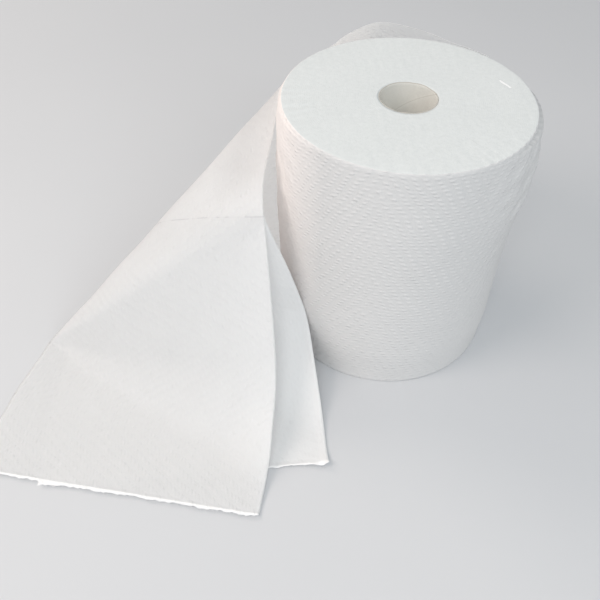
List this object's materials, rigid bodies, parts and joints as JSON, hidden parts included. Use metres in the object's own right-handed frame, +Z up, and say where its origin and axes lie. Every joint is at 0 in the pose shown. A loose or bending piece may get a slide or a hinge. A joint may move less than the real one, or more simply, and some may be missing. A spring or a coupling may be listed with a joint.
{
  "type": "paper towel roll",
  "caption": "Embossed two-ply paper towel wound on a cardboard core, standing on end, with a length of sheet pulled off, draped to the table and torn.",
  "frame": {"origin": "on the roll's axis at its lower end face", "axes": "+Z up the roll's axis, -X towards the free sheet's pinched side, -Y towards its torn end"},
  "size_m": [0.3734, 0.343, 0.2109],
  "materials": {
    "cardboard": "matte grey-beige board",
    "tissue": "matte embossed white tissue"
  },
  "bodies": {
    "root": {"core": "cardboard", "wound_paper": "tissue", "free_sheet": "tissue", "inner_ply": "tissue"}
  },
  "joints": []
}
